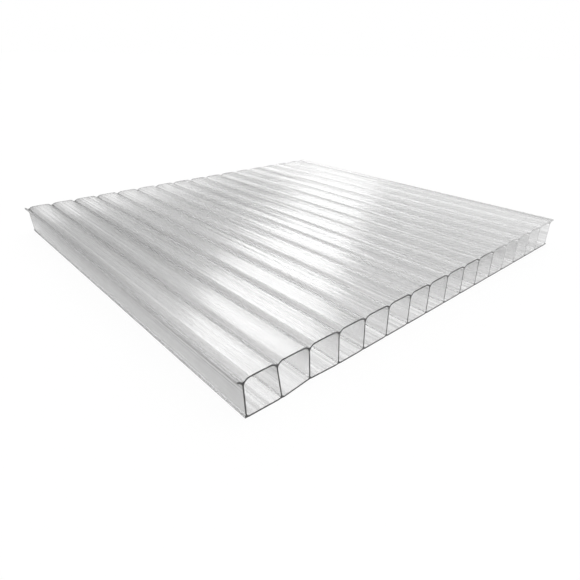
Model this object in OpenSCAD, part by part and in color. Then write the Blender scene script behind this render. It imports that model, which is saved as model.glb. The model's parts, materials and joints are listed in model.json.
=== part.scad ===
// Offcut of a clear twin-wall polycarbonate sheet, extruded in one piece, sawn across its flutes at both
// ends and lengthwise between two ribs at both sides. Millimetres. It lies flat: X runs across the ribs,
// Y along the flutes, Z up. The origin is in the middle of its footprint, on the plane that it lies on.

/* [Sheet] */
// Number of whole flutes across the offcut
flute_count = 16; // [3:1:40]
// Spacing of the ribs from middle to middle
rib_pitch = 9.6; // [8:0.1:14]
// Thickness of the sheet over both skins
thickness = 10.4; // [8:0.1:16]
// Length of the offcut along its flutes
cut_length = 152; // [20:1:600]

/* [Walls] */
// Thickness of the upper skin
upper_skin = 0.45; // [0.35:0.05:0.8]
// Thickness of the lower skin
lower_skin = 0.45; // [0.35:0.05:0.8]
// Thickness of a rib
rib_wall = 0.38; // [0.3:0.02:0.6]
// How far any rib may wander from even spacing
rib_wander = 0.1; // [0:0.05:0.3]
// How far the lower skin hangs down under the second rib, and is drawn up under the third
edge_sag = 0.4; // [0:0.05:0.6]

/* [Corners] */
// Radius inside a flute where a rib meets the upper skin
upper_corner_r = 1.55; // [0.8:0.05:2]
// Radius inside a flute where a rib meets the lower skin
lower_corner_r = 0.7; // [0.4:0.05:1.5]
// Radius of the groove that runs along the upper face over each rib
upper_groove_r = 0.7; // [0.3:0.1:3]
// Radius of the shallow groove that runs along the lower face under each rib
lower_groove_r = 3; // [1:0.5:8]

/* [Sawn sides] */
// Upper skin left beyond the first rib, from the middle of the rib
left_upper_stub = 1.4; // [0.5:0.1:3]
// Lower skin left beyond the first rib
left_lower_stub = 0.3; // [0.3:0.1:3]
// Upper skin left beyond the last rib
right_upper_stub = 3; // [0.5:0.1:4]
// Lower skin left beyond the last rib
right_lower_stub = 1; // [0.3:0.1:3]

/* [Hidden] */
$fn = 64;
// How far the heads and feet of the first ribs stray further across the sheet, from the first rib on
head_stray = [0.1, -0.5, -0.4, -0.3, -0.2];
foot_stray = [0.5, 0.6, -0.1];
// How high the feet of the first ribs sit, against the level of all the others
foot_lift = edge_sag * [-0.5, -1, 1];
// Level of the lower face, over the plane that the sheet touches under its second rib
rest_level = -min(foot_lift);
// Turn in degrees from rib to rib that spreads the wander unevenly
wander_turn = 137;
left_x = -left_upper_stub + head_x(0);
right_x = right_upper_stub + head_x(flute_count);
// Middle height of the upper corners
head_z = rest_level + thickness - upper_skin - upper_corner_r;
// Overshoot of a cutting shape past the face that it opens
over = 1;
// How deep a curve or leaning wall cuts into the next curve, so that the two cross at a clear angle
bite = 0.01;

// Where a rib would stand by the pitch and its wander alone
function stand_x(rib) = rib * rib_pitch + rib_wander * sin(rib * wander_turn);
// What a list gives for a rib, and nothing past its end
function listed(list, rib) = rib >= 0 && rib < len(list) ? list[rib] : 0;
// Place of a rib's head under the upper skin, and of its foot on the lower skin
function head_x(rib) = stand_x(rib) + listed(head_stray, rib);
function foot_x(rib) = stand_x(rib) + listed(foot_stray, rib);
// Middle height of the lower corners at a rib's foot
function foot_z(rib) = rest_level + listed(foot_lift, rib) + lower_skin + lower_corner_r;

// Direction of the outward normal of the line that touches circles a and b on one side of a to b.
// side is 1 for the left of that way and -1 for the right.
function tangent_normal(a, a_r, b, b_r, side) =
    let (way = b - a, turn = atan2(way[1], way[0]) + side * acos((a_r - b_r) / norm(way)))
    [cos(turn), sin(turn)];

// The hollow of one flute: four corner circles, and the straight walls between them
module flute_hollow(flute)
{
    head_inset = rib_wall / 2 + upper_corner_r;
    foot_inset = rib_wall / 2 + lower_corner_r;
    head_l = [head_x(flute) + head_inset, head_z];
    head_r = [head_x(flute + 1) - head_inset, head_z];
    foot_l = [foot_x(flute) + foot_inset, foot_z(flute)];
    foot_r = [foot_x(flute + 1) - foot_inset, foot_z(flute + 1)];
    up = [0, 1];
    normal_l = tangent_normal(foot_l, lower_corner_r, head_l, upper_corner_r, 1);
    normal_r = tangent_normal(foot_r, lower_corner_r, head_r, upper_corner_r, -1);
    // A level floor touches its corners, and a sloping one bites into them
    level = foot_l[1] == foot_r[1];
    floor_normal = level ? -up : tangent_normal(foot_l, lower_corner_r, foot_r, lower_corner_r, -1);
    floor_r = level ? lower_corner_r : lower_corner_r - bite;

    for (corner = [head_l, head_r]) translate(corner) circle(r = upper_corner_r);
    for (corner = [foot_l, foot_r]) translate(corner) circle(r = lower_corner_r);
    polygon([
        head_l + upper_corner_r * up,
        head_r + upper_corner_r * up,
        head_r + (upper_corner_r - bite) * normal_r,
        foot_r + (lower_corner_r - bite) * normal_r,
        foot_r + floor_r * floor_normal,
        foot_l + floor_r * floor_normal,
        foot_l + (lower_corner_r - bite) * normal_l,
        head_l + (upper_corner_r - bite) * normal_l
    ]);
}

// What is missing over a rib, up from the shoulders of its two flutes. The skin keeps its thickness round
// the shoulders, and a fillet joins them over the rib. The origin is level with the corners' middles.
module groove(corner_r, skin, fillet_r)
{
    shoulder_r = corner_r + skin;
    reach = corner_r + rib_wall / 2;
    fillet_z = sqrt(pow(shoulder_r + fillet_r - bite, 2) - pow(reach, 2));

    difference() {
        translate([-reach, 0]) square([2 * reach, shoulder_r + over]);
        for (side = [-1, 1]) translate([side * reach, 0]) circle(r = shoulder_r);
        polygon([[-reach, 0], [reach, 0], [0, fillet_z]]);
    }
    translate([0, fillet_z]) circle(r = fillet_r);
}

// What is missing under the sloping floor of a flute whose feet sit at different heights
module under_slope(flute)
{
    shoulder_r = lower_corner_r + lower_skin;
    foot_inset = rib_wall / 2 + lower_corner_r;
    foot_l = [foot_x(flute) + foot_inset, foot_z(flute)];
    foot_r = [foot_x(flute + 1) - foot_inset, foot_z(flute + 1)];
    way = (foot_r - foot_l) / norm(foot_r - foot_l);
    dip = foot_l[1] == foot_r[1] ? 0 : bite;
    down = (shoulder_r - dip) * [way[1], -way[0]];
    overlap = lower_corner_r / 2;
    start = foot_l + down - overlap * way;
    end = foot_r + down + overlap * way;

    difference() {
        polygon([start, end, [end[0], -2 * over], [start[0], -2 * over]]);
        for (corner = [foot_l, foot_r]) translate(corner) circle(r = shoulder_r);
    }
}

// One band of the blank, between two heights and two places across the ribs
module band(from_x, to_x, from_z, to_z)
{
    translate([from_x, from_z]) square([to_x - from_x, to_z - from_z]);
}

// The sheet's blank before its flutes and grooves, sawn off at different places above and below.
// Its middle band reaches into the flutes beyond, which clear it again.
module blank_section()
{
    beyond = rib_pitch / 2;
    low_z = min(foot_z(0), foot_z(flute_count));
    level_from = foot_x(len(foot_lift));

    band(left_x, right_x, head_z, rest_level + thickness);
    band(-beyond, flute_count * rib_pitch + beyond, low_z, head_z);
    band(foot_x(0) - left_lower_stub, level_from, -over, foot_z(0));
    band(level_from, foot_x(flute_count) + right_lower_stub, rest_level, foot_z(flute_count));
}

// The extruded section, seen from the near end
module sheet_section()
{
    difference() {
        blank_section();
        for (flute = [-1:flute_count]) flute_hollow(flute);
        for (flute = [0:len(foot_lift) - 1]) under_slope(flute);
        for (rib = [0:flute_count]) {
            translate([head_x(rib), head_z]) groove(upper_corner_r, upper_skin, upper_groove_r);
            translate([foot_x(rib), foot_z(rib)])
                mirror([0, 1]) groove(lower_corner_r, lower_skin, lower_groove_r);
        }
    }
}

module twinwall_sheet()
{
    color([0.86, 0.88, 0.89, 0.55])
        translate([-(left_x + right_x) / 2, 0, 0])
            rotate([90, 0, 0]) linear_extrude(height = cut_length, center = true) sheet_section();
}

twinwall_sheet();
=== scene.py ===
# %% [markdown]
# # An offcut of clear twin-wall glazing sheet
# The real thing is one extrusion: two skins as thin as a card, joined by upright ribs, so that air stands in
# long flutes between them. It was sawn across its flutes at both ends and lengthwise at both sides.
# The CAD model already has the section at its real size, so this lesson loads it as a fixed frame and works
# on a copy: it gives the copy a faint crown and the die lines of an extruded skin, and a clear plastic that
# bends light. X runs across the ribs, Y along the flutes and Z up. Every length here is in metres.

# %% Load the frame
import json
import math

import bpy
from mathutils import Matrix, Vector

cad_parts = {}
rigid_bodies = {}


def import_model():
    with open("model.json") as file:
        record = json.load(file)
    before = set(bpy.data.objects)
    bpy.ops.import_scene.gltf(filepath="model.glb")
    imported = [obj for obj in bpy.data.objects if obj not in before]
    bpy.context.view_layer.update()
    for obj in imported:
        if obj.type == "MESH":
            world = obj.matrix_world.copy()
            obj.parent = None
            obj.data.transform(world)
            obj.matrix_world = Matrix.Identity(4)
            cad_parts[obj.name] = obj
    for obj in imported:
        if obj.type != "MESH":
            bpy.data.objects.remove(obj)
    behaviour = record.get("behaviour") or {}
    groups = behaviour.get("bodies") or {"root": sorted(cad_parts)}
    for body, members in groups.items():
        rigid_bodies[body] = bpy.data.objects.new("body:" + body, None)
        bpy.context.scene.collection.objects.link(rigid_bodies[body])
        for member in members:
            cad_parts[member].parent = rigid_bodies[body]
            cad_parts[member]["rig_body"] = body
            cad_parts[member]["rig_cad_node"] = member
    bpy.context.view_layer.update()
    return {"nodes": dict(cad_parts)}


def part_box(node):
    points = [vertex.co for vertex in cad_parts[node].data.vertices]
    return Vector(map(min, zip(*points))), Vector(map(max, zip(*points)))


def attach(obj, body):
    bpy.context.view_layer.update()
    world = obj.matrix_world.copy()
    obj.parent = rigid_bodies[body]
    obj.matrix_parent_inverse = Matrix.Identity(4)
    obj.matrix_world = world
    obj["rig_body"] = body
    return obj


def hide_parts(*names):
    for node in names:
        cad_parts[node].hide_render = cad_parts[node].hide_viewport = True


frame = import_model()
low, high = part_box("twinwall_sheet")
MM = 0.001
print("sheet from", [round(v / MM, 2) for v in low], "to", [round(v / MM, 2) for v in high], "mm")

# %% [markdown]
# ## A copy of the sheet to work on
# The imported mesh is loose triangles. It could be built again from a plane by extruding, but then its sizes
# would have to be typed a second time, and the thin walls wouldn't match the solid. A merged copy keeps
# them. The pairs of triangles along the flutes are joined into long quads, because only quads can be
# divided evenly along their length. An edit-mode tool acts on all that is selected, so small helpers open a
# piece alone and pick its faces or edges by their place or direction.

# %% Open and close edit mode


def edit(piece):
    """Selects one piece alone and opens it in edit mode."""
    bpy.ops.object.select_all(action="DESELECT")
    bpy.context.view_layer.objects.active = piece
    piece.select_set(True)
    bpy.ops.object.mode_set(mode="EDIT")


def leave():
    bpy.ops.object.mode_set(mode="OBJECT")


# %% Pick faces and edges by their place


def pick_faces(piece, test):
    """Selects the faces that pass the test, and nothing else."""
    bpy.ops.mesh.select_mode(type="FACE")
    bpy.ops.mesh.select_all(action="DESELECT")
    leave()
    for face in piece.data.polygons:
        face.select = test(face)
    bpy.ops.object.mode_set(mode="EDIT")


def pick_edges(piece, test):
    """Selects the edges whose two ends pass the test, and nothing else."""
    bpy.ops.mesh.select_mode(type="EDGE")
    bpy.ops.mesh.select_all(action="DESELECT")
    leave()
    points = piece.data.vertices
    for edge in piece.data.edges:
        edge.select = test(points[edge.vertices[0]].co, points[edge.vertices[1]].co)
    bpy.ops.object.mode_set(mode="EDIT")


# %% Which way a face looks
# A face looks along an axis when its normal has at least this share along it
mostly, wholly = 0.7, 0.9


def sideways(face):
    return abs(face.normal.x) > mostly


def sawn_through(face):
    return abs(face.normal.y) > wholly


def level(face):
    return abs(face.normal.z) > mostly


# %% Copy the sheet
bpy.ops.object.select_all(action="DESELECT")
cad_sheet = frame["nodes"]["twinwall_sheet"]
cad_sheet.select_set(True)
bpy.context.view_layer.objects.active = cad_sheet
bpy.ops.object.duplicate()
sheet = bpy.context.object
sheet.parent = None
sheet.name = "sheet_dressed"
sheet.data.name = "sheet_dressed"
# These two marks belong to the CAD node, and the copy brought them along
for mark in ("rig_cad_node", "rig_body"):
    if mark in sheet:
        del sheet[mark]
print("copied", len(sheet.data.polygons), "triangles")

# %% Merge it and join the triangles
same_point = 0.002 * MM
# How flat two triangles have to lie to each other, and how far from square their quad may be, in radians
flat_enough, any_shape = 0.05, 3.14
edit(sheet)
bpy.ops.mesh.select_mode(type="FACE")
bpy.ops.mesh.select_all(action="SELECT")
bpy.ops.mesh.remove_doubles(threshold=same_point)
bpy.ops.mesh.customdata_custom_splitnormals_clear()
pick_faces(sheet, lambda face: not sawn_through(face))
bpy.ops.mesh.tris_convert_to_quads(face_threshold=flat_enough, shape_threshold=any_shape)
leave()
print("merged copy:", len(sheet.data.vertices), "points,", len(sheet.data.polygons), "faces")

# %% [markdown]
# ## Rows across and along
# A flat skin has no points between its corners, so it can't curve. Bisecting cuts the copy where the skins
# have to bend: a few upright planes in every flute, square to X. Then all the long edges are divided into
# rows along the flutes. A grid modifier would do it too, but would spoil the rounded corners of the section.

# %% Where the ribs stand
rib_count = 17
pitch = 9.6 * MM
first_rib = -77.68 * MM
# The die lets each rib wander a little, and the first ones are pushed aside
wander = 0.1 * MM
wander_turn = math.radians(137)
head_stray = [0.1 * MM, -0.5 * MM, -0.4 * MM, -0.3 * MM, -0.2 * MM]


def head_x(rib):
    """Where a rib's head joins the upper skin."""
    stray = head_stray[rib] if rib < len(head_stray) else 0
    return first_rib + rib * pitch + wander * math.sin(rib * wander_turn) + stray


heads = [head_x(rib) for rib in range(rib_count)]
print("ribs at", [round(x / MM, 1) for x in heads], "mm")

# %% Cut each flute upright
# Shares of the way from one rib to the next
cuts = (0.22, 0.31, 0.4, 0.5, 0.6, 0.69, 0.78)
edit(sheet)
for rib in range(rib_count - 1):
    for share in cuts:
        x = heads[rib] + share * (heads[rib + 1] - heads[rib])
        bpy.ops.mesh.select_all(action="SELECT")
        bpy.ops.mesh.bisect(plane_co=(x, 0, 0), plane_no=(1, 0, 0), use_fill=False, threshold=same_point / 2)
leave()
print("after the upright cuts:", len(sheet.data.polygons), "faces")

# %% Divide the long edges
rows = 28
nearly_whole = 0.95 * (high.y - low.y)
edit(sheet)
pick_edges(sheet, lambda a, b: abs(a.y - b.y) > nearly_whole)
bpy.ops.mesh.subdivide(number_cuts=rows)
leave()
print("after the rows:", len(sheet.data.polygons), "faces")

# %% [markdown]
# ## A slight crown in every flute
# When the profile cools, each strip of skin between two ribs sets with a faint crown, less than a tenth of
# a millimetre. It is what turns the mirror image of a window into one long finger of light in each flute.
# It could be painted as a bump, but a real curve also shows along the edge. A vertex group holds how far
# every point sinks towards its ribs, and a Displace modifier moves the points by it.

# %% How near a point is to its ribs
# The upper skin counts in full above this height, and not at all below the middle
head_height = high.z - 2.0 * MM
middle_height = (low.z + high.z) / 2


def across(x):
    """Which share of its flute a place lies at, 0 at one rib and 1 at the next."""
    for rib in range(rib_count - 1):
        if heads[rib] <= x <= heads[rib + 1]:
            return (x - heads[rib]) / (heads[rib + 1] - heads[rib])
    return 0.0


def smooth(value, start, end):
    """Goes gently from 0 at the start to 1 at the end."""
    share = min(1, max(0, (value - start) / (end - start)))
    return share * share * (3 - 2 * share)


def in_upper_skin(point):
    return smooth(point.co.z, middle_height, head_height)


# %% Crown
crown = 0.07 * MM
# The crown has run out at this share of the way from the middle of the flute to a rib
flat_share = 0.72
sink = sheet.vertex_groups.new(name="sink")
for point in sheet.data.vertices:
    from_middle = min(1, abs(2 * across(point.co.x) - 1) / flat_share)
    sink.add([point.index], from_middle ** 2 * in_upper_skin(point), "REPLACE")


def apply_displace(piece, **settings):
    """Moves a piece's points by a Displace modifier, and keeps the result."""
    bpy.ops.object.select_all(action="DESELECT")
    bpy.context.view_layer.objects.active = piece
    piece.select_set(True)
    modifier = piece.modifiers.new("move", "DISPLACE")
    for key, value in settings.items():
        setattr(modifier, key, value)
    bpy.ops.object.modifier_apply(modifier=modifier.name)


apply_displace(sheet, direction="Z", mid_level=0.0, strength=-crown, vertex_group="sink")
print("crown:", crown / MM, "mm")

# %% [markdown]
# ## Matt shoulders over the ribs
# In the photo soft bands cross the sheet over its ribs, and one picture doesn't show what makes them. Here
# the shoulders over the ribs are a little less glossy than the strips between, so they spread the light. It
# is a guess that fits the picture. A texture in object space couldn't follow ribs that wander, so an
# attribute on the points marks how close each one is to a rib.

# %% Mark the shoulders
shoulder_reach = 2.4 * MM
shoulder_core = 0.8 * MM
over_rib = sheet.data.attributes.new("over_rib", "FLOAT", "POINT")
for point in sheet.data.vertices:
    distance = min(abs(point.co.x - head) for head in heads)
    over_rib.data[point.index].value = smooth(distance, shoulder_reach, shoulder_core) * in_upper_skin(point)
print("shoulders reach", shoulder_reach / MM, "mm from each rib")

# %% [markdown]
# ## Painted shade in the first grooves
# The first grooves of the real sheet look darker than the rest, most of all towards the far end, because they
# mirror something dark. They may only mirror something dark. Here that is a painted shade: a little grey in
# the plastic, which stays there under any light. This lesson stands in for that with a little grey in the
# plastic, such as dust would give, and it stays there under any light. A second attribute marks where it
# lies.

# %% Mark the painted shade
painted_shade_width = 3.4 * MM
painted_shade_core = 0.8 * MM
# The painted shade is full left of the first place, and gone right of the second
shaded_until, unshaded_from = -62 * MM, -28 * MM
# It is full beyond the first place along the flutes, and only this share of that nearer than the second
full_beyond, thin_before = 25 * MM, -50 * MM
thin_share = 0.35
# This attribute holds the painted shade in the grooves
painted_groove_shade = sheet.data.attributes.new("painted_groove_shade", "FLOAT", "POINT")
for point in sheet.data.vertices:
    distance = min(abs(point.co.x - head) for head in heads)
    in_groove = smooth(distance, painted_shade_width, painted_shade_core) * in_upper_skin(point)
    left_side = smooth(point.co.x, unshaded_from, shaded_until)
    far_end = thin_share + (1 - thin_share) * smooth(point.co.y, thin_before, full_beyond)
    painted_groove_shade.data[point.index].value = in_groove * left_side * far_end
print("dust fades out between", shaded_until / MM, "and", unshaded_from / MM, "mm")

# %% [markdown]
# ## Smooth curves and crisp cuts
# The rounded corners are many narrow faces. Shading them smooth hides their edges, but the sawn ends must
# stay crisp. Shading by angle does both at once: it smooths every edge that is flatter than the angle.

# %% Shade by angle
crisp_angle = math.radians(40)
bpy.ops.object.shade_smooth_by_angle(angle=crisp_angle)
print("dressed sheet:", sum(len(face.vertices) - 2 for face in sheet.data.polygons), "triangles")

# %% [markdown]
# ## Clear polycarbonate
# The plastic is water-clear, with a faint grey tint in depth. The die leaves fine lines along the flutes,
# and the skins are never quite even, which draws the highlights out into streaks. The lines could be cut
# into the mesh, but none is deeper than about a seventh of a millimetre, so they are a bump of noise that
# is stretched along Y. Three layers of it, from fine to broad, give lines of different widths.

# %% Materials and stretched noise


def new_material(name):
    material = bpy.data.materials.new(name)
    material.use_nodes = True
    return material, material.node_tree.nodes, material.node_tree.links


def streaks(nodes, links, scale, detail=2.0):
    """Noise in object space, with its own scale along X, Y and Z. A small one draws it out into streaks."""
    place = nodes.new("ShaderNodeTexCoord")
    stretch = nodes.new("ShaderNodeMapping")
    stretch.inputs["Scale"].default_value = scale
    noise = nodes.new("ShaderNodeTexNoise")
    noise.inputs["Scale"].default_value = 1.0
    noise.inputs["Detail"].default_value = detail
    links.new(place.outputs["Object"], stretch.inputs["Vector"])
    links.new(stretch.outputs["Vector"], noise.inputs["Vector"])
    return noise.outputs["Fac"]


def greys(nodes, links, fac, darkest, palest, start=0.3, end=0.65):
    """A ramp from one grey to another over part of a noise."""
    ramp = nodes.new("ShaderNodeValToRGB")
    dark, pale = ramp.color_ramp.elements
    dark.position, dark.color = start, (darkest, darkest, darkest, 1)
    pale.position, pale.color = end, (palest, palest, palest, 1)
    links.new(fac, ramp.inputs["Fac"])
    return ramp.outputs["Color"]


# %% Die lines
# Scale of the noise along X, Y and Z, and the depth of the lines
fine_lines = ((2600, 3, 2600), 0.02 * MM)
middle_lines = ((900, 1.2, 900), 0.12 * MM)
broad_lines = ((260, 1, 260), 0.15 * MM)


def die_lines(nodes, links, shader):
    """Chains a bump for each layer of lines into the shader's normal."""
    normal = None
    for scale, depth in (fine_lines, middle_lines, broad_lines):
        bump = nodes.new("ShaderNodeBump")
        bump.inputs["Distance"].default_value = depth
        links.new(streaks(nodes, links, scale), bump.inputs["Height"])
        if normal:
            links.new(normal, bump.inputs["Normal"])
        normal = bump.outputs["Normal"]
    links.new(normal, shader.inputs["Normal"])


# %% The clear plastic
refraction = 1.586
matt_roughness = 0.26
# Grey of the painted shade in the first grooves
painted_shade_grey = (0.78, 0.78, 0.78, 1)
tint_streaks, tint_detail = (900, 4, 900), 3.0


def painted_shade_tint(nodes, links, tint):
    """Darkens the tint with painted shade in the grooves."""
    painted_shade = nodes.new("ShaderNodeAttribute")
    painted_shade.attribute_name = "painted_groove_shade"
    darker = nodes.new("ShaderNodeMixRGB")
    darker.blend_type = "MULTIPLY"
    darker.inputs["Color2"].default_value = painted_shade_grey
    links.new(painted_shade.outputs["Fac"], darker.inputs["Fac"])
    links.new(tint, darker.inputs["Color1"])
    return darker.outputs["Color"]


def clear_plastic(name, darkest, palest, roughness):
    """Clear plastic with a streaky tint, painted shade in the first grooves, matt shoulders, and die lines
    along the flutes.
    """
    material, nodes, links = new_material(name)
    shader = nodes["Principled BSDF"]
    tint = greys(nodes, links, streaks(nodes, links, tint_streaks, tint_detail), darkest, palest)
    links.new(painted_shade_tint(nodes, links, tint), shader.inputs["Base Color"])
    band = nodes.new("ShaderNodeAttribute")
    band.attribute_name = "over_rib"
    matt = nodes.new("ShaderNodeMapRange")
    matt.inputs["To Min"].default_value = roughness
    matt.inputs["To Max"].default_value = matt_roughness
    links.new(band.outputs["Fac"], matt.inputs["Value"])
    links.new(matt.outputs["Result"], shader.inputs["Roughness"])
    shader.inputs["IOR"].default_value = refraction
    shader.inputs["Transmission Weight"].default_value = 1.0
    die_lines(nodes, links, shader)
    return material


# %% [markdown]
# ## Five finishes on one sheet
# The skins, the ribs and the sawn sides don't look alike in the photo: the lower skin is hazier, and the left
# side is a darker grey. The right side's grey is a guess, after the even grey of the last openings.
# One recipe gives them all, with a darker or paler tint. It stays pale on the skins and ribs, because light
# crosses dozens of walls in this sheet.

# %% Tints of the skins, ribs and sides
skin = clear_plastic("hazy_skin", 0.92, 1.0, 0.13)
clear = clear_plastic("clear_rib", 0.97, 1.0, 0.14)
# The two sides get a darker grey tint
grey_left = clear_plastic("grey_left_side", 0.4, 0.75, 0.2)
grey_right = clear_plastic("grey_right_side", 0.5, 0.8, 0.2)
lower = clear_plastic("lower_skin", 0.6, 0.95, 0.13)
print("clear finishes:", [material.name for material in (skin, clear, grey_left, grey_right, lower)])

# %% [markdown]
# ## The sawn ends
# The cut walls are dull, and their dark grey is painted shade: they face away from the light, so they draw
# the section as thin lines. Towards the last flutes the lines fade out in the light, and a paler cut paints
# that light here, at both ends. Towards the last flutes the photo's lines fade out, which may be its light.
# A paler cut stands in for that here, at both ends. Saw marks could be a bump, but the walls are under half
# a millimetre thick, so greys of fine noise are enough.

# %% Where painted light makes the cut paler
# The painted light starts and is full at these places across the sheet, and lies above the lower skin
pale_start, pale_full = 18 * MM, 42 * MM
pale_foot, pale_head = low.z + 0.9 * MM, low.z + 2 * MM
# The cut's dark grey is painted shade, and its paler grey is painted light
cut_painted_shade, nodes, links = new_material("sawn_cut_painted_shade")
place = nodes.new("ShaderNodeTexCoord")
axes = nodes.new("ShaderNodeSeparateXYZ")
links.new(place.outputs["Object"], axes.inputs["Vector"])
past_start = nodes.new("ShaderNodeMapRange")
past_start.interpolation_type = "SMOOTHSTEP"
past_start.inputs["From Min"].default_value = pale_start
past_start.inputs["From Max"].default_value = pale_full
links.new(axes.outputs["X"], past_start.inputs["Value"])
over_foot = nodes.new("ShaderNodeMapRange")
over_foot.inputs["From Min"].default_value = pale_foot
over_foot.inputs["From Max"].default_value = pale_head
links.new(axes.outputs["Z"], over_foot.inputs["Value"])
# How much painted light turns the cut paler
paler = nodes.new("ShaderNodeMath")
paler.operation = "MULTIPLY"
links.new(past_start.outputs["Result"], paler.inputs[0])
links.new(over_foot.outputs["Result"], paler.inputs[1])
print("the cut grows paler from", pale_start / MM, "to", pale_full / MM, "mm")

# %% The painted greys of the cut
# Darkest and palest grey of the cut in painted shade, and of the paler cut in painted light
painted_shade_cut, painted_light_cut = (0.01, 0.08), (0.4, 0.6)
saw_marks = streaks(nodes, links, (1200, 200, 1200), 3.0)
cut = nodes.new("ShaderNodeMixRGB")
links.new(paler.outputs["Value"], cut.inputs["Fac"])
links.new(greys(nodes, links, saw_marks, *painted_shade_cut), cut.inputs["Color1"])
links.new(greys(nodes, links, saw_marks, *painted_light_cut), cut.inputs["Color2"])
shader = nodes["Principled BSDF"]
links.new(cut.outputs["Color"], shader.inputs["Base Color"])
shader.inputs["Roughness"].default_value = 0.5
shader.inputs["IOR"].default_value = refraction

# %% [markdown]
# ## Which face gets which finish
# The sheet is one piece, so its finishes are given face by face. Painting a mask would need an image, and
# the faces already say what they are: a rib faces sideways, a cut faces along the flutes, a skin faces up
# or down. Each pick is given its material in edit mode, and a later pick overrules an earlier one.

# %% Give the materials to the faces
sheet.data.materials.clear()
for material in (skin, clear, cut_painted_shade, grey_left, grey_right, lower):
    sheet.data.materials.append(material)


def give(piece, material, test):
    """Gives a material to the faces that pass the test."""
    pick_faces(piece, test)
    piece.active_material_index = piece.data.materials.find(material.name)
    bpy.ops.object.material_slot_assign()
    print(material.name, "on", sum(face.select for face in piece.data.polygons), "faces")


last_ribs = high.x - 4 * MM
left_wall = low.x + 1.5 * MM
right_wall = high.x - 3 * MM
lower_zone = low.z + 2 * MM
edit(sheet)
give(sheet, clear, lambda face: sideways(face) and abs(face.center.x) < last_ribs)
give(sheet, cut_painted_shade, sawn_through)
give(sheet, grey_left, lambda face: sideways(face) and face.center.x < left_wall)
give(sheet, grey_right, lambda face: not sawn_through(face) and face.center.x > right_wall)
give(sheet, lower, lambda face: level(face) and face.center.z < lower_zone)
leave()

# %% [markdown]
# ## Put the copy in the place of the solid
# The CAD node itself is then hidden and stays as it was.

# %% Ride and replace
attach(sheet, "root")
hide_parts("twinwall_sheet")
print("dressed:", sheet.name, "for the node twinwall_sheet")

# %% [markdown]
# ## A white floor
# A product photo stands on white. A white floor under a lamp would be grey in the corners, and more light
# would burn out the plastic. So the floor is pale paint for the light that falls on it, and glows at almost
# 1 for the camera and for what the plastic mirrors and lets through. The rest of the mix is plain paint,
# so it still takes the sheet's shadow.

# %% Floor
floor_size = 60
below_sheet = 0.2 * MM
bpy.ops.object.select_all(action="DESELECT")
bpy.ops.mesh.primitive_plane_add(size=floor_size, location=(0, 0, -below_sheet))
floor = bpy.context.object
floor.name = "floor"
print("floor", floor.dimensions.x, "m wide")

# %% Pale paint and a glow
floor_paint = (0.9, 0.9, 0.9, 1)
white, nodes, links = new_material("white_floor")
shader = nodes["Principled BSDF"]
shader.inputs["Base Color"].default_value = floor_paint
shader.inputs["Roughness"].default_value = 0.9
glow = nodes.new("ShaderNodeEmission")
mix = nodes.new("ShaderNodeMixShader")
links.new(shader.outputs[0], mix.inputs[1])
links.new(glow.outputs[0], mix.inputs[2])
links.new(mix.outputs[0], nodes["Material Output"].inputs["Surface"])
floor.data.materials.append(white)

# %% Glow for three kinds of ray
glow_share = 0.95
path = nodes.new("ShaderNodeLightPath")
camera_or_glossy = nodes.new("ShaderNodeMath")
camera_or_glossy.operation = "MAXIMUM"
links.new(path.outputs["Is Camera Ray"], camera_or_glossy.inputs[0])
links.new(path.outputs["Is Glossy Ray"], camera_or_glossy.inputs[1])
any_of_three = nodes.new("ShaderNodeMath")
any_of_three.operation = "MAXIMUM"
links.new(camera_or_glossy.outputs[0], any_of_three.inputs[0])
links.new(path.outputs["Is Transmission Ray"], any_of_three.inputs[1])
share = nodes.new("ShaderNodeMath")
share.operation = "MULTIPLY"
share.inputs[1].default_value = glow_share
links.new(any_of_three.outputs[0], share.inputs[0])
links.new(share.outputs[0], mix.inputs["Fac"])
print("the floor glows by", glow_share)

# %% [markdown]
# ## A studio painted on the sky
# Clear plastic shows little but what stands round it, so its look is made by the room. Lamps and cards
# could stand about, but the sheet would then mirror their hard edges. Here the room is the world's own
# light, drawn with a few soft steps in directions: side, away and up, turned so that away is where the
# camera looks. All of it stays near a plain level, and only the window is brighter.

# %% Arithmetic with nodes
world = bpy.data.worlds.new("studio")
bpy.context.scene.world = world
world.use_nodes = True
nodes, links = world.node_tree.nodes, world.node_tree.links


def socket(value, target):
    """Links an output to a socket, or sets the socket to a number."""
    if hasattr(value, "is_linked"):
        links.new(value, target)
    else:
        target.default_value = value


def maths(operation, first, second):
    node = nodes.new("ShaderNodeMath")
    node.operation = operation
    socket(first, node.inputs[0])
    socket(second, node.inputs[1])
    return node.outputs[0]


def plus(first, second):
    return maths("ADD", first, second)


def minus(first, second):
    return maths("SUBTRACT", first, second)


def times(first, second):
    return maths("MULTIPLY", first, second)


# %% Soft steps


def fade(value, start, end, before, after):
    """Goes softly from one level before the start to another after the end."""
    node = nodes.new("ShaderNodeMapRange")
    node.interpolation_type = "SMOOTHSTEP"
    socket(value, node.inputs["Value"])
    node.inputs["From Min"].default_value = start
    node.inputs["From Max"].default_value = end
    node.inputs["To Min"].default_value = before
    node.inputs["To Max"].default_value = after
    return node.outputs["Result"]


def rises(value, start, end):
    return fade(value, start, end, 0.0, 1.0)


def falls(value, start, end):
    return fade(value, start, end, 1.0, 0.0)


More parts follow.
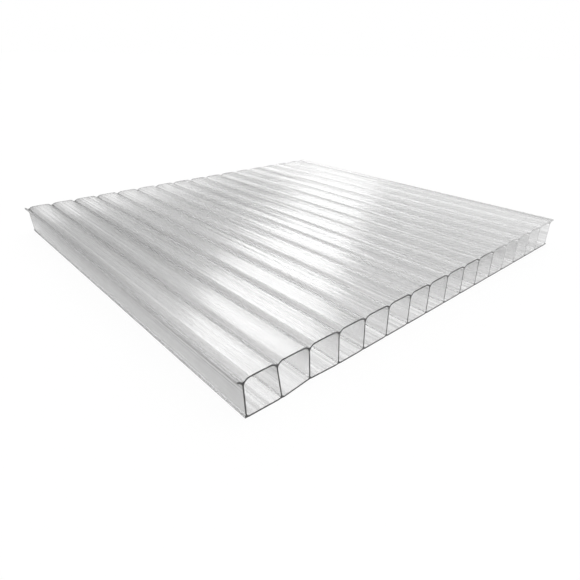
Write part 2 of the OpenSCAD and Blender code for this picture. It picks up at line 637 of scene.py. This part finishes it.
# %% Three directions
quarter_view = math.radians(45)
direction = nodes.new("ShaderNodeTexCoord")
turned = nodes.new("ShaderNodeMapping")
turned.inputs["Rotation"].default_value = (0, 0, quarter_view)
view_axes = nodes.new("ShaderNodeSeparateXYZ")
sheet_axes = nodes.new("ShaderNodeSeparateXYZ")
links.new(direction.outputs["Generated"], turned.inputs["Vector"])
links.new(turned.outputs["Vector"], view_axes.inputs["Vector"])
links.new(direction.outputs["Generated"], sheet_axes.inputs["Vector"])
side, away, up = view_axes.outputs
print("the room is turned by", round(math.degrees(quarter_view)), "degrees")

# %% Walls, a darker beam and the ceiling
# Here and below, each pair is where a soft edge starts and ends
# The wall behind the camera is darker than the one ahead
wall_turn, wall_levels = (-0.5, 0.5), (0.4, 0.7)
wall = fade(away, *wall_turn, *wall_levels)
# A darker beam runs over the far side of the ribs, and gives the soft bands something to mirror
least_slope = 0.02
over_ribs = maths("DIVIDE", sheet_axes.outputs["Z"], maths("MAXIMUM", sheet_axes.outputs["X"], least_slope))
beam_foot, beam_head = (0.3, 0.45), (0.58, 0.75)
beam_depth = 0.2
beam = times(rises(over_ribs, *beam_foot), falls(over_ribs, *beam_head))
ceiling_edge = (0.5, 0.75)
ceiling_glow = 0.9
ceiling = rises(up, *ceiling_edge)
room = plus(minus(wall, times(beam, beam_depth)), times(ceiling, ceiling_glow))

# %% [markdown]
# ## The window
# One bright window stands ahead, and the flutes mirror it as a row of white fingers that step across the
# sheet. An area lamp would be simpler, but its outline would be hard and straight. This one leans, and
# narrows towards its foot, so that the fingers do too.

# %% Where a direction meets the far wall
nearest = 0.05
ahead = maths("MAXIMUM", away, nearest)
across_view = maths("DIVIDE", side, ahead)
height = maths("DIVIDE", up, ahead)

# %% Half widths of the window
window_foot = 0.138
window_lean = 0.505
middle = minus(window_foot, times(height, window_lean))
from_middle = minus(across_view, middle)
# The heights over which each half widens, and its widths below and above them
right_widens, right_widths = (0.45, 0.55), (0.14, 0.22)
left_widens, left_widths = (0.3, 0.48), (0.045, 0.16)
right_off = maths("DIVIDE", from_middle, fade(height, *right_widens, *right_widths))
left_off = maths("DIVIDE", times(from_middle, -1.0), fade(height, *left_widens, *left_widths))

# %% The pane and its glare
right_edge, left_edge = (0.85, 1.1), (0.75, 1.15)
sill, head = (0.18, 0.25), (0.72, 0.95)
pane = times(falls(right_off, *right_edge), falls(left_off, *left_edge))
pane = times(pane, times(rises(height, *sill), falls(height, *head)))
glare_heights, glare_levels = (0.22, 0.4), (0.75, 2.4)
glare = fade(height, *glare_heights, *glare_levels)
room = plus(room, times(pane, glare))

# %% [markdown]
# ## The rest of the far wall
# A room is never even. These soft patches place the greys of the sheet's corners: a paler wall on the right,
# a bright strip at the horizon, a shade beside the window's foot, and a darker left. They were found by
# comparing renders with the photo, and don't claim to be its room. Each is one product of two or three soft
# steps, added or taken away.

# %% Patches on the far wall
right_wall_edge, right_wall_glow = (0.12, 0.22), 0.2
room = plus(room, times(rises(across_view, *right_wall_edge), right_wall_glow))
low_wall_top, low_wall_shade = (0.2, 0.34), 0.19
room = minus(room, times(falls(height, *low_wall_top), low_wall_shade))
horizon_top, horizon_side, horizon_glow = (0.1, 0.2), (-0.35, -0.15), 0.9
horizon = times(falls(height, *horizon_top), rises(across_view, *horizon_side))
room = plus(room, times(horizon, horizon_glow))

# %% A shade beside the window
beside_left, beside_right = (-0.3, -0.15), (-0.08, -0.05)
beside_top, beside_shade = (0.27, 0.33), 0.3
beside = times(rises(across_view, *beside_left), falls(across_view, *beside_right))
beside = times(beside, falls(height, *beside_top))
room = minus(room, times(beside, beside_shade))

# %% The left of the room
low_left_top, low_left_side, low_left_glow = (0.28, 0.36), (-0.4, -0.25), 0.25
low_left = times(falls(height, *low_left_top), falls(across_view, *low_left_side))
room = plus(room, times(low_left, low_left_glow))
dark_left_side, dark_left_top, dark_left_shade = (-0.6, -0.45), (0.45, 0.65), 0.2
dark_left = times(falls(across_view, *dark_left_side), falls(height, *dark_left_top))
room = minus(room, times(dark_left, dark_left_shade))
print("the studio has", len(nodes), "nodes")

# %% [markdown]
# ## White behind the sheet
# The camera alone sees a plain white world, level with the floor's glow, so no horizon shows. The plastic
# still mirrors and bends the room, which is what makes it read as clear plastic.

# %% What the camera sees
white_level = 1.0
path = nodes.new("ShaderNodeLightPath")
seen = nodes.new("ShaderNodeMix")
seen.data_type = "FLOAT"
links.new(path.outputs["Is Camera Ray"], seen.inputs["Factor"])
links.new(room, seen.inputs["A"])
seen.inputs["B"].default_value = white_level
links.new(seen.outputs["Result"], nodes["Background"].inputs["Strength"])
nodes["Background"].inputs["Color"].default_value = (1, 1, 1, 1)

# %% [markdown]
# ## The camera
# The camera stands close to the near left corner and looks down across the sheet with a short lens, which
# is why the far side looks so small. Its place was found by fitting the ends of the ribs to the photograph.
# The small shift frames the sheet as the photo does.

# %% Camera
azimuth, elevation, roll = math.radians(-42.868), math.radians(26.486), math.radians(0.94)
camera_place = Vector((-119.58, -137.82, 69.34)) * MM
bpy.ops.object.camera_add(location=camera_place)
camera = bpy.context.object
heading = Matrix.Rotation(azimuth, 4, "Z")
tilt = Matrix.Rotation(math.pi / 2 - elevation, 4, "X")
camera.rotation_euler = (heading @ tilt @ Matrix.Rotation(roll, 4, "Z")).to_euler()
print("camera", round(camera_place.length / MM), "mm from the middle of the sheet")

# %% Lens and frame
# Millimetres, as lenses and film are sold
film_width, focal_length = 36, 28.404
nearest_seen = 5 * MM
camera.data.sensor_width = film_width
camera.data.lens = focal_length
camera.data.shift_x, camera.data.shift_y = -0.01774, -0.011
camera.data.clip_start = nearest_seen
bpy.context.scene.camera = camera
bpy.context.scene.view_settings.view_transform = "Standard"

# %% [markdown]
# ## How often light may turn
# A ray that looks along a flute crosses dozens of walls. Blender stops it after a dozen, and leaves it black.
# The limits are raised well past the number of walls, so the flutes stay bright inside.

# %% Light paths
wall_crossings = 96
cycles = bpy.context.scene.cycles
for limit in ("max_bounces", "transmission_bounces", "glossy_bounces", "diffuse_bounces"):
    setattr(cycles, limit, wall_crossings)
print("light may turn", cycles.max_bounces, "times")
